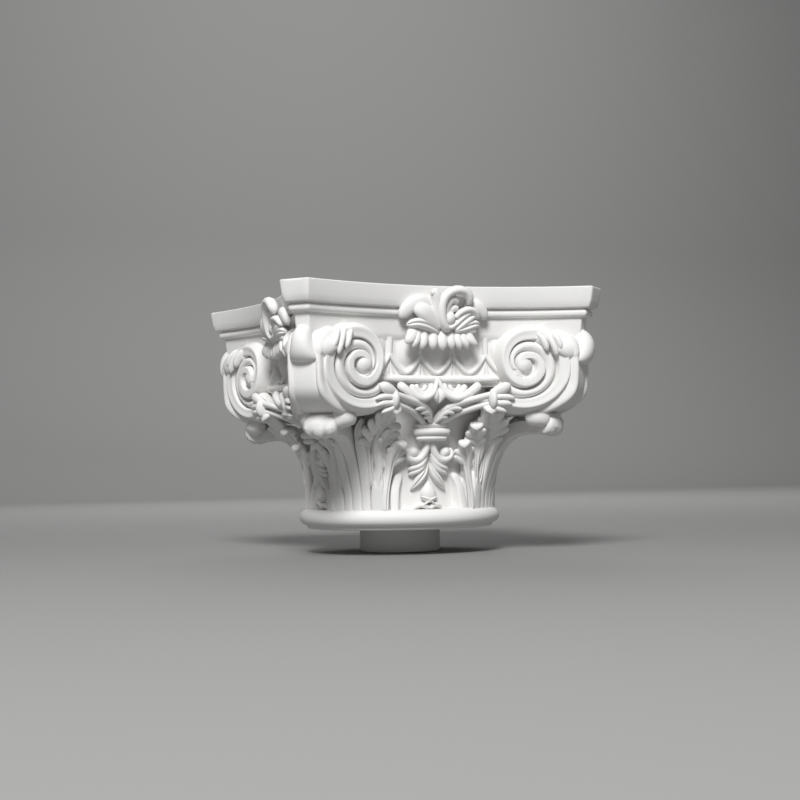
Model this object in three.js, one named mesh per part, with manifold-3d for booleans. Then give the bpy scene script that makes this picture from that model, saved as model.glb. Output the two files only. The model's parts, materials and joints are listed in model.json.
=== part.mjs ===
import * as THREE from 'three';
import { LoftGeometry } from 'three/addons/geometries/LoftGeometry.js';
import { mergeVertices } from 'three/addons/utils/BufferGeometryUtils.js';
import Module from 'manifold-3d';

// Overall sizes in millimetres, +Z up, the underside of the spigot on Z = 0
const HALF_WIDTH = 200;
const HEIGHT = 314;
const SPIGOT_RADIUS = 50;
const SEAT_Z = 30;
const SOCKET_DEPTH = 4;
const JOINT_GAP = 0.3;

// Foot: thin lip, round ring and the bell above it
const LIP_RADIUS = 116;
const LIP_HEIGHT = 4;
const RING_RADIUS = 115;
const RING_SECTION = 10;
const BELL_FOOT = 94;
const BELL_TOP = 140;
const BELL_FLARE = 2.6;
const BELL_TOP_Z = 202;
const TURN_STEPS = 24;

// Abacus: hollow sides, cut corners and the mouldings as rows of set-back and height
const CHAMFER = 25.4;
const HOLLOW = 42;
const PLAN_STEPS = 6;
const FRIEZE_SETBACK = 15;
const MOULDINGS = [
  [24, 198],
  [22, 250],
  [17, 256],
  [FRIEZE_SETBACK, 278],
  [10, 279],
  [10, 286.5],
  [5, 289.5],
  [0, HEIGHT],
];

// Scrolls: the eye, the outer radius of the band at each quarter turn and its relief
const SCROLL_X = 99;
const SCROLL_Z = 223;
const SCROLL_RADII = [57, 52, 51, 42, 27, 27, 24, 17, 12];
const SCROLL_START = 0.7;
const SCROLL_STEPS = 11;
const BAND_WIDTH = 12;
const SCROLL_LIFT = 6;
const BAND_LIFT = 11;
const SCROLL_THICKNESS = 78;

// Corner bands and the leaf caps over them
const CORNER_BAND = 13;
const CORNER_BEAD = 19;
const CORNER_RADIUS = 246;
const CORNER_FOOT_Z = 168;
const CAP_RADIUS = 258;
const CAP_Z = 242;
const CAP_HALF = 42;

// Egg band and bar
const EGG_PITCH = 40;
const EGG_TOP = 250;
const EGG_BOTTOM = 212;
const BAR_BOTTOM = 202;
const BAR_TOP = 211;
const BAR_HALF = 76;

// Tie and pendant
const TIE_Z = 135;
const TIE_HALF = 22.5;

// Corner leaves
const ROLL_RADIUS = 14.5;
const ROLL_CENTRE = 201;
const ROLL_Z = 153;
const ROLL_HALF = 34;
const LEAF_ROWS = 8;
const LEAF_COLUMNS = 6;
const LOBE_DEPTH = 6;
const FLUTE_DEPTH = 3.5;

// Fleurons
const FAN_SPOKES = 14;
const FAN_HALF = 55;
const FAN_Z = 272;
const FAN_TOP = 38;
const FAN_BOTTOM = 34;

const WHITE = new THREE.MeshStandardMaterial({ color: 0xeeece6, roughness: 0.72, metalness: 0.0 });
const UP = new THREE.Vector3(0, 0, 1);

// Points are drawn facing -Y: across the face, away from the axis, up
function at(across, depth, z) {
  return new THREE.Vector3(across, -depth, z);
}

// Distance from the axis to the hollow face, set back from the abacus edge
function faceDepth(x, setback) {
  const run = x / (HALF_WIDTH - CHAMFER);
  return HALF_WIDTH - setback - HOLLOW * (1 - run * run);
}

function onFace(x, z, relief) {
  return at(x, faceDepth(x, FRIEZE_SETBACK) + relief, z);
}

// Radius of the bell at a height
function bellRadius(z) {
  const foot = SEAT_Z + LIP_HEIGHT + 2 * RING_SECTION;
  const run = THREE.MathUtils.clamp((z - foot) / (BELL_TOP_Z - foot), 0, 1);
  return BELL_FOOT + (BELL_TOP - BELL_FOOT) * run ** BELL_FLARE;
}

function onBell(x, z, relief) {
  const radius = bellRadius(z) + relief;
  return at(x, Math.sqrt(radius * radius - x * x), z);
}

// Skin through sections, wound to face outwards and capped unless an end has closed to a point
function loft(sections) {
  const mean = (section) => {
    const sum = section.reduce((total, point) => total.add(point), new THREE.Vector3());
    return sum.divideScalar(section.length);
  };
  let swept = 0;
  for (let i = 0; i + 1 < sections.length; i += 1) {
    const centre = mean(sections[i]);
    const travel = mean(sections[i + 1]).sub(centre);
    const arms = sections[i].map((p) => p.clone().sub(centre));
    arms.forEach((arm, k) => {
      swept += arm.clone().cross(arms[(k + 1) % arms.length]).dot(travel);
    });
  }
  const wound = swept > 0 ? sections : sections.map((section) => section.toReversed());
  const open = (section) => section[0].distanceTo(section[1]) > 1e-3;
  return new LoftGeometry(wound, { capStart: open(wound[0]), capEnd: open(wound.at(-1)) });
}

function rod(points, radius, steps, sides = 6) {
  const round = new THREE.Shape(new THREE.Path().absarc(0, 0, radius, 0, 2 * Math.PI).getPoints(sides / 2));
  const path = new THREE.CatmullRomCurve3(points);
  return new THREE.ExtrudeGeometry(round, { steps, extrudePath: path, bevelEnabled: false });
}

function mirrored(geometry) {
  return new THREE.BufferGeometry().copy(geometry).scale(-1, 1, 1);
}

function bothSides(geometries) {
  return [...geometries, ...geometries.map(mirrored)];
}

// A moulded strip along a line drawn on the hollow face
function strip(line, outline) {
  return loft(line.map(([x, z], i) => {
    const before = line[Math.max(i - 1, 0)];
    const after = line[Math.min(i + 1, line.length - 1)];
    const run = Math.hypot(after[0] - before[0], after[1] - before[1]);
    const across = [(before[1] - after[1]) / run, (after[0] - before[0]) / run];
    return outline.map(([offset, relief]) => onFace(x + across[0] * offset, z + across[1] * offset, relief));
  }));
}

// Abacus and the square core under it, one hollow-sided outline through all the mouldings
function abacus() {
  const sections = MOULDINGS.map(([setback, z]) => {
    const end = HALF_WIDTH - CHAMFER - setback * Math.tan(Math.PI / 8);
    const loop = [];
    for (let side = 0; side < 4; side += 1) {
      for (let i = 0; i <= PLAN_STEPS; i += 1) {
        const run = 2 * i / PLAN_STEPS - 1;
        const depth = HALF_WIDTH - setback - HOLLOW * (1 - run * run);
        loop.push(at(run * end, depth, z).applyAxisAngle(UP, side * Math.PI / 2));
      }
    }
    return loop;
  });
  return loft(sections);
}

// Socket, flat seat, lip, ring and bell turned about the axis
function bell() {
  const socket = (SPIGOT_RADIUS + JOINT_GAP) / Math.cos(Math.PI / TURN_STEPS);
  const ringZ = SEAT_Z + LIP_HEIGHT + RING_SECTION;
  const profile = [
    [0, SEAT_Z + SOCKET_DEPTH], [socket, SEAT_Z + SOCKET_DEPTH], [socket, SEAT_Z],
    [LIP_RADIUS - 2, SEAT_Z], [LIP_RADIUS, SEAT_Z + LIP_HEIGHT],
  ];
  for (let i = 0; i <= 3; i += 1) {
    const angle = THREE.MathUtils.degToRad(-60 + 50 * i);
    profile.push([RING_RADIUS + RING_SECTION * Math.cos(angle), ringZ + RING_SECTION * Math.sin(angle)]);
  }
  for (let i = 0; i <= 3; i += 1) {
    const z = ringZ + RING_SECTION + (BELL_TOP_Z - ringZ - RING_SECTION) * Math.sqrt(i / 3);
    profile.push([bellRadius(z), z]);
  }
  profile.push([0, BELL_TOP_Z]);
  const turned = new THREE.LatheGeometry(profile.map(([r, z]) => new THREE.Vector2(r, z)), TURN_STEPS);
  return turned.rotateX(Math.PI / 2);
}

// One scroll, skinned as rings about its eye: outline, raised band, groove, inner turn and eye
function scroll() {
  const radii = new THREE.SplineCurve(SCROLL_RADII.map((r, i) => new THREE.Vector2(i, r)));
  const spiral = (turn) => radii.getPoint(turn / (SCROLL_RADII.length - 1));
  const last = SCROLL_START + 4;
  const rings = [[], [], [], [], [], [], []];
  for (let i = 0; i < SCROLL_STEPS; i += 1) {
    const { x: turn, y: radius } = spiral(SCROLL_START + 4 * i / SCROLL_STEPS);
    const angle = Math.PI * (turn / 2 - 1);
    const past = turn > 4;
    const inner = past ? radius - 1 : Math.min(spiral(turn + 4).y, radius - BAND_WIDTH - 1);
    const outer = past ? THREE.MathUtils.lerp(radius, SCROLL_RADII[0], (turn - 4) / (last - 4)) : radius;
    const crest = past ? SCROLL_LIFT : BAND_LIFT;
    const trough = past ? inner + 0.6 * (outer - inner) : Math.max(radius - BAND_WIDTH, inner + 1);
    const rows = [
      [outer, SCROLL_LIFT - SCROLL_THICKNESS], [outer, crest], [trough, crest], [trough - 0.3, SCROLL_LIFT],
      [inner + 0.3, SCROLL_LIFT], [inner - 0.5, BAND_LIFT], [0, BAND_LIFT + 4],
    ];
    rows.forEach(([r, relief], k) => {
      const x = SCROLL_X + r * Math.cos(angle);
      rings[k].push(onFace(x, SCROLL_Z + r * Math.sin(angle), relief));
    });
  }
  return loft(rings);
}

// Corner band between two beads, curving in at the foot, with the leaf cap over it
function corner() {
  const profile = (raise) => {
    const loop = [[110, CAP_Z], [CORNER_RADIUS + raise, CAP_Z]];
    for (let i = 0; i <= 3; i += 1) {
      const angle = i / 3 * Math.PI / 2;
      const out = CORNER_RADIUS - 50 + (50 + raise) * Math.cos(angle);
      loop.push([out, CORNER_FOOT_Z + 42 - (42 + raise) * Math.sin(angle)]);
    }
    loop.push([110, CORNER_FOOT_Z - raise]);
    return loop;
  };
  const rows = [[CORNER_BEAD + 2, -5], [CORNER_BEAD - 2, 1.5], [CORNER_BAND, -1]];
  const across = [...rows.map(([t, raise]) => [-t, raise]), ...rows.toReversed()];
  const band = loft(across.map(([t, raise]) => profile(raise).map(([out, z]) => at(t, out, z))));
  const lobes = [-1, -0.72, -0.45, 0, 0.45, 0.72, 1].map((s) => {
    const size = Math.abs(s) === 1 ? 0.2 : (Math.abs(s) === 0.45 ? 0.75 : 1);
    const out = CAP_RADIUS - 15 - 22 * s * s;
    return [0, 1, 2, 3, 4].map((k) => {
      const angle = 2 * Math.PI * k / 5;
      return at(CAP_HALF * s, out + 15 * size * Math.cos(angle), CAP_Z + 15 * size * Math.sin(angle));
    });
  });
  return [band, loft(lobes)];
}

// Eggs in pointed rims, and the bar below
function eggBand() {
  const made = [];
  for (let k = -1; k <= 1; k += 1) {
    const rings = [[1, -24], [0.95, 0], [0.72, -7], [0, -1]].map(([size, relief]) => {
      const loop = [];
      for (let i = 0; i <= 4; i += 1) {
        const s = i / 2 - 1;
        const z = EGG_BOTTOM + (EGG_TOP - EGG_BOTTOM) * Math.abs(s) ** 1.7;
        loop.push(onFace(k * EGG_PITCH + 19.5 * s * size, EGG_TOP - 14 + (z - EGG_TOP + 14) * size, relief));
      }
      return loop;
    });
    made.push(loft(rings));
  }
  const bar = [-1, 0, 1].map((s) => {
    const outline = [[BAR_BOTTOM, -20], [BAR_BOTTOM + 1, 4], [BAR_TOP - 1, 4], [BAR_TOP, -20]];
    return outline.map(([z, relief]) => onFace(BAR_HALF * s, z, relief));
  });
  made.push(loft(bar));
  return made;
}

// A swelling spray along a bent line: half-width and height given at each of its rows
function spray(line, rows, sink) {
  const spine = new THREE.CatmullRomCurve3(line);
  return loft(rows.map(([half, height], i) => {
    const centre = spine.getPoint(i / (rows.length - 1));
    const along = spine.getTangent(i / (rows.length - 1));
    const side = new THREE.Vector3().crossVectors(along, at(0, 1, 0)).normalize();
    const outline = [[-half, 0], [0, height], [half, 0], [0, -sink]];
    return outline.map(([s, rise]) => centre.clone().addScaledVector(side, s).add(at(0, rise, 0)));
  }));
}

// Husks under the bar and the stems out through the ringed knots to their small leaves
function stems() {
  const husk = strip([[34, 203], [27, 186], [13, 186], [6, 203]], [[-7, -20], [0, 4], [7, -20]]);
  const line = [at(3, 112, 150), at(16, 136, 172), at(46, 152, 181), at(62, 158, 183), at(88, 164, 182)];
  const stem = spray(line, [[7, 9], [9, 9], [7, 8], [12, 12], [9, 7], [2, 1]], 14);
  return bothSides([husk, stem]);
}

// Tie of three bands with the hanging ornament below it: two scrolls, two pairs of leaves and a bud
function pendant() {
  const bands = [[18, 0], [19, 6], [TIE_HALF, 7], [TIE_HALF, 14], [19, 15], [18, 21]];
  const tie = loft(bands.map(([half, rise]) => [[-1, 96], [-0.7, 120], [0.7, 120], [1, 96]]
    .map(([s, depth]) => at(half * s, depth + 0.5 * (half - 20), TIE_Z + rise))));
  const line = [onBell(0, 140, 2), onBell(0, 112, 3), onBell(0, 84, 3), onBell(0, 58, 3)];
  const rows = [[8, 8], [28, 10], [12, 9], [25, 6], [10, 9], [21, 6], [8, 6], [12, 11]];
  return [tie, spray(line, rows, 10)];
}

// Corner acanthus leaf: ribbed blade with lobed edges, and the rolled tip
function acanthus() {
  const rib = new THREE.CatmullRomCurve3([
    at(0, 117, 50), at(0, 118, 84), at(0, 124, 108), at(0, 140, 128), at(0, 166, 138), at(0, 200, 140),
  ]);
  const edge = new THREE.CatmullRomCurve3([
    at(44, 100, 50), at(46, 94, 88), at(51, 99, 120), at(57, 113, 143), at(62, 132, 160), at(56, 166, 170),
  ]);
  const blade = [];
  for (let j = 0; j <= LEAF_ROWS; j += 1) {
    const v = j / LEAF_ROWS;
    const middle = rib.getPoint(v);
    const side = edge.getPoint(v);
    const along = rib.getTangent(v);
    const normal = new THREE.Vector3(0, -along.z, along.y);
    const lobe = j > 1 && j < LEAF_ROWS ? LOBE_DEPTH * (j % 2 === 0 ? 1 : -1) : 0;
    side.x += lobe;
    const loop = [];
    for (let i = 0; i <= LEAF_COLUMNS; i += 1) {
      const u = 2 * i / LEAF_COLUMNS - 1;
      const point = middle.clone().lerp(side, Math.abs(u) ** 1.7).setX(u * side.x);
      const flute = FLUTE_DEPTH * Math.cos(3 * Math.PI * u) * (1 - 0.5 * Math.abs(u));
      loop.push(point.addScaledVector(normal, flute + lobe * Math.abs(u) ** 3));
    }
    for (const back of [0.7, -0.7]) {
      loop.push(middle.clone().lerp(side, 0.6).setX(back * side.x).addScaledVector(normal, -27));
    }
    blade.push(loop);
  }
  const roll = [];
  for (let i = 0; i <= 6; i += 1) {
    const s = i / 3 - 1;
    const radius = ROLL_RADIUS * Math.sqrt(Math.max(1 - s ** 4, 0)) * (i % 3 === 2 ? 0.85 : 1);
    const loop = [];
    for (let k = 0; k < 5; k += 1) {
      const angle = 2 * Math.PI * k / 5;
      loop.push(at(ROLL_HALF * s, ROLL_CENTRE + radius * Math.cos(angle), ROLL_Z + radius * Math.sin(angle)));
    }
    roll.push(loop);
  }
  return [loft(blade), loft(roll)];
}

// Fleuron over the middle of each side: a fan of petals and leaves under a tall scroll
function fleuron() {
  const rings = [[0, 25], [0.6, 22], [1, 10], [0.9, -14]].map(([reach, relief]) => {
    const loop = [];
    for (let i = 0; i < FAN_SPOKES; i += 1) {
      const angle = 2 * Math.PI * i / FAN_SPOKES;
      const ridge = i % 2 === 0 ? 1 : -1;
      const tall = Math.sin(angle) > 0 ? FAN_TOP : FAN_BOTTOM;
      const size = reach * (1 + 0.06 * ridge);
      const x = FAN_HALF * size * Math.cos(angle);
      const rise = relief > 0 ? 2 * ridge * reach : 0;
      loop.push(onFace(x, FAN_Z + tall * size * Math.sin(angle), relief + rise));
    }
    return loop;
  });
  const tall = rod([
    onFace(2, 260, 22), onFace(-7, 276, 27), onFace(-2, 296, 24), onFace(13, 305, 22), onFace(28, 300, 22),
    onFace(31, 288, 24),
  ], 6, 5, 4);
  return [loft(rings), tall];
}

// Closed solids for joining
const wasm = await Module();
wasm.setup();

function solid(geometry) {
  const bare = new THREE.BufferGeometry().copy(geometry);
  bare.deleteAttribute('normal');
  bare.deleteAttribute('uv');
  const merged = mergeVertices(bare, 1e-3);
  const place = merged.attributes.position;
  const corners = [];
  let volume = 0;
  for (let i = 0; i < merged.index.count; i += 3) {
    const [a, b, c] = [0, 1, 2].map((k) => merged.index.getX(i + k));
    if (a !== b && b !== c && c !== a) {
      corners.push(a, b, c);
      const [p, q, r] = [a, b, c].map((k) => new THREE.Vector3().fromBufferAttribute(place, k));
      volume += p.dot(q.cross(r));
    }
  }
  if (volume < 0) {
    corners.reverse();
  }
  const mesh = new wasm.Mesh({
    numProp: 3,
    vertProperties: new Float32Array(place.array),
    triVerts: new Uint32Array(corners),
  });
  return new wasm.Manifold(mesh);
}

function join(geometries) {
  return geometries.map(solid).reduce((whole, piece) => whole.add(piece));
}

function toGeometry(manifold) {
  const mesh = manifold.getMesh();
  const geometry = new THREE.BufferGeometry();
  geometry.setAttribute('position', new THREE.BufferAttribute(new Float32Array(mesh.vertProperties), 3));
  geometry.setIndex(new THREE.BufferAttribute(new Uint32Array(mesh.triVerts), 1));
  geometry.computeVertexNormals();
  return geometry;
}

// Four equal sides and four equal corners on the abacus and bell
const side = [...bothSides([scroll()]), ...eggBand(), ...stems(), ...pendant(), ...fleuron()];
const angle = [...corner(), ...acanthus()].map((geometry) => geometry.rotateZ(Math.PI / 4));
const quarter = toGeometry(join([...side, ...angle]));
const quarters = [0, 1, 2, 3].map((k) => quarter.clone().rotateZ(k * Math.PI / 2));
const capital = new THREE.Mesh(toGeometry(join([abacus(), bell(), ...quarters])), WHITE);
capital.name = 'capital';

const plugHeight = SEAT_Z + SOCKET_DEPTH - JOINT_GAP;
const plug = new THREE.CylinderGeometry(SPIGOT_RADIUS, SPIGOT_RADIUS, plugHeight, TURN_STEPS);
plug.rotateX(Math.PI / 2);
plug.translate(0, 0, plugHeight / 2);
const spigot = new THREE.Mesh(plug, WHITE);
spigot.name = 'spigot';

const group = new THREE.Group();
group.add(capital, spigot);
export default group;
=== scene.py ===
import json

import bpy
import numpy as np
from mathutils import Euler, Matrix, Vector

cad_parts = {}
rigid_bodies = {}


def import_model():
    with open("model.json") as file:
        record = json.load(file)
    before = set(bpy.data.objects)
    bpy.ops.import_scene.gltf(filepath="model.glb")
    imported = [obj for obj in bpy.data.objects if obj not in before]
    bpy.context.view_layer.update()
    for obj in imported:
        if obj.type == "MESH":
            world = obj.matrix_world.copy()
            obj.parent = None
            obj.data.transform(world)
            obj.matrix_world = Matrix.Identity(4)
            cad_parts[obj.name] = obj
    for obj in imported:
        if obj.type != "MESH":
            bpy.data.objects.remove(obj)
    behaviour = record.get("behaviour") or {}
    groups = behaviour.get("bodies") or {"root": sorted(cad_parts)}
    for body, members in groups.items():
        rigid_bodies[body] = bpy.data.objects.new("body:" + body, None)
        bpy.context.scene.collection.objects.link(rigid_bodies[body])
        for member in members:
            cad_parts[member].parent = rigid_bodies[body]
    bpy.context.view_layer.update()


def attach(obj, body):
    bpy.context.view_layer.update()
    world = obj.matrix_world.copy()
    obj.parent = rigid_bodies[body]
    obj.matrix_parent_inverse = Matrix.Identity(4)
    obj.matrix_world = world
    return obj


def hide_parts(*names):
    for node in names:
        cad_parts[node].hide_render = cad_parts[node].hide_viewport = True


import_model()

# The body of the capital is one casting in white resin: a hollow-sided abacus over a bell that flares
# up from a round ring. Everything carved on it below is poured in the same mould, so each ornament
# is drawn here, in millimetres, as a closed shell, and all are fused with this body into one skin.
WIDTH = 400.0
SIDE_HOLLOW = 42.0
CORNER_CUT = 25.4
EDGE = WIDTH / 2 - CORNER_CUT
EDGE_DRAW = 0.414
EASINGS = 2
# Each level of the abacus is its inset from the widest outline and its height.
ABACUS_PROFILE = [
    (24.0, 198.0), (22.0, 250.0), (20.4, 253.0), (18.4, 256.0), (17.2, 260.0), (15.3, 276.0), (14.6, 278.3),
    (11.2, 279.0), (9.4, 281.0), (9.0, 284.0), (10.0, 286.6), (11.4, 287.4), (11.4, 288.4), (6.4, 289.0),
    (4.6, 290.4), (2.2, 298.0), (0.4, 311.0), (0.2, 312.6), (0.8, 313.6), (2.0, 314.0)]
SIDE_POINTS = 44
CUT_POINTS = 9
QUARTERS = (0, 90, 180, 270)
BELL_FOOT = 99.0
BELL_GROWTH = 41.0
BELL_BOTTOM = 54.0
BELL_RISE = 148.0
BELL_FLARE = 2.6
BELL_LEVELS = 18
BELL_SIDES = 144
FILLET = 4.0
FILLET_RISE = 0.4
SEAT_Z = 30.0
SOCKET_RADIUS = 50.3
SOCKET_DEPTH = 4.0
LIP_RADIUS = 116.0
LIP_INSETS = (4.0, 1.0, 0.0, 0.0)
LIP_RISES = (0.0, 0.5, 1.6, 4.0)
RING_RADIUS = 115.0
RING_ROUND = 10.0
RING_Z = 44.0
RING_POINTS = 13


def shell(rows):
    """A closed skin over a stack of closed loops: rows[i, j] is point j of loop i, each end is closed by a
    fan to the middle of its loop, and the triangles are turned outwards by the sign of the volume."""
    rows = np.asarray(rows, dtype=float)
    loops, around = rows.shape[:2]
    points = np.concatenate([rows.reshape(-1, 3), rows[:1].mean(axis=1), rows[-1:].mean(axis=1)])
    here = np.arange(around)
    after = np.roll(here, -1)
    start = np.arange(loops - 1)[:, None] * around
    a, b = start + here, start + after
    walls = np.stack([a, b, b + around, a, b + around, a + around], axis=-1).reshape(-1, 3)
    last = (loops - 1) * around
    foot = np.stack([after, here, np.full(around, loops * around)], axis=-1)
    head = np.stack([last + here, last + after, np.full(around, loops * around + 1)], axis=-1)
    triangles = np.concatenate([walls, foot, head])
    corners = points[triangles]
    volume = np.einsum("ij,ij->", corners[:, 0], np.cross(corners[:, 1], corners[:, 2]))
    return points, triangles if volume > 0 else triangles[:, ::-1]


def turned(part, degrees):
    """The same shell turned about the capital's upright axis."""
    angle = np.radians(degrees)
    turn = np.array([[np.cos(angle), -np.sin(angle), 0], [np.sin(angle), np.cos(angle), 0], [0, 0, 1]])
    return part[0] @ turn.T, part[1]


def face_depth(x, inset):
    """How far the hollow side of the abacus stands from the axis: a parabola in x, drawn in by the inset."""
    return WIDTH / 2 - inset - SIDE_HOLLOW * (1 - (x / EDGE) ** 2)


def abacus_loop(inset, z):
    """One level of the abacus: four parabolic sides joined by straight corner cuts, with the arrises
    eased by averaging each point with its neighbours."""
    end = EDGE - EDGE_DRAW * inset
    x = end * np.sin(np.linspace(-1, 1, SIDE_POINTS) * np.pi / 2)
    depth = face_depth(x, inset)
    side = np.stack([x, -depth], axis=-1)
    step = np.linspace(0, 1, CUT_POINTS)[1:-1, None]
    cut = side[-1] + step * (np.array([depth[-1], -end]) - side[-1])
    one_side = np.concatenate([side, cut])
    turns = np.radians(QUARTERS)
    spin = np.stack([np.cos(turns), -np.sin(turns), np.sin(turns), np.cos(turns)], axis=-1).reshape(4, 2, 2)
    loop = np.einsum("kab,nb->kna", spin, one_side).reshape(-1, 2)
    for _ in range(EASINGS):
        loop = 0.5 * loop + 0.25 * (np.roll(loop, 1, axis=0) + np.roll(loop, -1, axis=0))
    return np.column_stack([loop, np.full(len(loop), z)])


def bell_radius(z):
    """The bell's radius at a height: straight at the foot and flaring by a power of the height."""
    return BELL_FOOT + BELL_GROWTH * np.clip((z - BELL_BOTTOM) / BELL_RISE, 0, 1) ** BELL_FLARE


def lathe(radius, z, sides):
    """A profile of radii and heights carried round the axis."""
    angle = np.linspace(0, 2 * np.pi, sides, endpoint=False)
    radius, z = np.asarray(radius)[:, None], np.asarray(z)[:, None]
    return shell(np.stack([radius * np.cos(angle), radius * np.sin(angle), z + 0 * angle], axis=-1))


abacus = shell([abacus_loop(inset, z) for inset, z in ABACUS_PROFILE])
ring_angle = np.radians(np.linspace(-90, 90, RING_POINTS))
bell_z = np.linspace(BELL_BOTTOM + FILLET_RISE, BELL_BOTTOM + BELL_RISE, BELL_LEVELS)
profile_radius = np.concatenate([
    [SOCKET_RADIUS, SOCKET_RADIUS], LIP_RADIUS - np.array(LIP_INSETS),
    RING_RADIUS + RING_ROUND * np.cos(ring_angle), [BELL_FOOT + FILLET], bell_radius(bell_z)])
profile_z = np.concatenate([
    [SEAT_Z + SOCKET_DEPTH, SEAT_Z], SEAT_Z + np.array(LIP_RISES),
    RING_Z + RING_ROUND * np.sin(ring_angle), [BELL_BOTTOM], bell_z])
body_shells = [abacus, lathe(profile_radius, profile_z, BELL_SIDES)]
quarter_shells = []

# The volutes: on each face two bands roll up side by side into spirals, a broad dished band with a thin
# bead inside it, round a domed eye. Two neighbours meet at the corner, where a plain strip between two
# beads runs over both their edges, on a block of the same casting.
FACE_INSET = 15.0
EYE_X = 100.5
EYE_Z = 221.8
EYE_SIZES = (9.8, 5.8, 9.8)
EYE_SHIFT = 0.5
EYE_SINK = 2.5
SPIRAL_RADII = [57.0, 52.0, 51.5, 43.5, 27.0, 27.0, 22.5, 16.0, 10.5, 7.5]
BAND_EDGES = [44.0, 39.6, 38.0, 29.5, 17.0, 14.2, 12.0, 6.0, 3.0, 3.0]
SPIRAL_START = -180.0
SPIRAL_END = 560.0
TURN_ENDS = [-134.0, 150.0, 330.0, SPIRAL_END]
TURN_STEP = 7.0
TURN_LAP = 4.0
VOLUTE_BACK = 78.0
VOLUTE_LIFT = 11.0
EYE_LIFT = 2.6
CORE_RADIUS = 2.0
LEAST_RADIUS = 1.0
LEAST_GAP = 0.5
ROUNDING_START = 130.0
ROUNDING_TURN = 120.0
ROUNDED_FROM = 0.2
ROUNDED_TO = 0.9
GROOVE_TURNS = [130, 160, 230, 290]
GROOVE_LIFTS = [0.5, 0.85, 0.85, 0.4]
# Each point of the section is millimetres outside the spiral, share of the band, share of the gap inside it,
# millimetres behind the face, and share of the lift.
VOLUTE_SECTION = [
    (6, 0, 0, -VOLUTE_BACK, 0), (6, 0, 0, -14, 0), (5.2, 0, 0, -7, 0), (3.4, 0, 0, -2, 0.1),
    (1.2, 0, 0, 0, 0.45), (0, 0.04, 0, 0, 0.78), (0, 0.12, 0, 0, 0.95), (0, 0.25, 0, 0, 1.0),
    (0, 0.45, 0, 0, 0.92), (0, 0.65, 0, 0, 0.88), (0, 0.85, 0, 0, 0.9), (0, 0.95, 0, 0, 0.86),
    (0, 1, 0, 0, 0.62), (0, 1, 0.05, 0, 0.2), (0, 1, 0.1, 0, 0.2), (0, 1, 0.16, 0, 0.5),
    (0, 1, 0.32, 0, 0.8), (0, 1, 0.52, 0, 0.88), (0, 1, 0.72, 0, 0.8), (0, 1, 0.88, 0, 0.55),
    (0, 1, 0.94, 0, 0.25), (0, 1, 1.15, 0, 0.2), (0, 1, 1.15, -VOLUTE_BACK, 0)]
# Down the corner the strip's line is its distance from the axis, its height and its width as a share.
CORNER_LINE = [
    (236, 244, 1.0), (243, 234, 1.0), (243.6, 222, 1.0), (243.4, 212, 1.0), (242.5, 201, 1.0),
    (240.6, 192, 1.05), (236.5, 185, 1.1), (231.3, 180, 1.16), (224, 175, 1.25), (215.5, 170.5, 1.34),
    (204, 166.5, 1.4), (190, 164, 1.4)]
STRIP_SECTION = np.array([
    (-21.4, -40), (-21.4, -4), (-21.2, -1.2), (-20.3, 0.7), (-19, 1.6), (-17.5, 1.8), (-16, 1.3),
    (-14.9, 0.1), (-14.2, -0.9), (-13.2, -0.5), (-9, 0), (0, 0.3), (9, 0), (13.2, -0.5), (14.2, -0.9),
    (14.9, 0.1), (16, 1.3), (17.5, 1.8), (19, 1.6), (20.3, 0.7), (21.2, -1.2), (21.4, -4), (21.4, -40)])
STRIP_LEVELS = 34
SKIRT_LIFT = -5
SKIRT_POWER = 4
CORNER = 45
CORNER_BLOCK = [(0, 140, 186, 26, 14), (0, 200, 186, 26, 13), (0, 222, 190, 22, 11), (0, 232, 196, 16, 9)]
DOWN = np.array([0, 0, -1.0])
ROUND = np.stack([np.cos(np.arange(10) * np.pi / 5), np.sin(np.arange(10) * np.pi / 5)], axis=-1)
EVEN_SHARE = 0.45
BLUNT_END = 0.004
POLE_GAP = 0.06


def pair(part):
    """A shell and its mirror image, on which x changes sign and the triangles turn round."""
    return [part, (part[0] * (-1, 1, 1), part[1][:, ::-1])]


def spiral(radii, degrees):
    """A radius of the spiral at an angle, smooth through the radii given for each quarter turn."""
    corners = np.arange(len(radii)) * 90.0 + SPIRAL_START
    slope = np.gradient(radii, corners)
    place = np.clip(np.searchsorted(corners, degrees) - 1, 0, len(corners) - 2)
    f = (degrees - corners[place]) / 90
    radii = np.array(radii)
    return ((2 * f ** 3 - 3 * f ** 2 + 1) * radii[place] + (f ** 3 - 2 * f ** 2 + f) * 90 * slope[place]
            + (3 * f ** 2 - 2 * f ** 3) * radii[place + 1] + (f ** 3 - f ** 2) * 90 * slope[place + 1])


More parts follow.
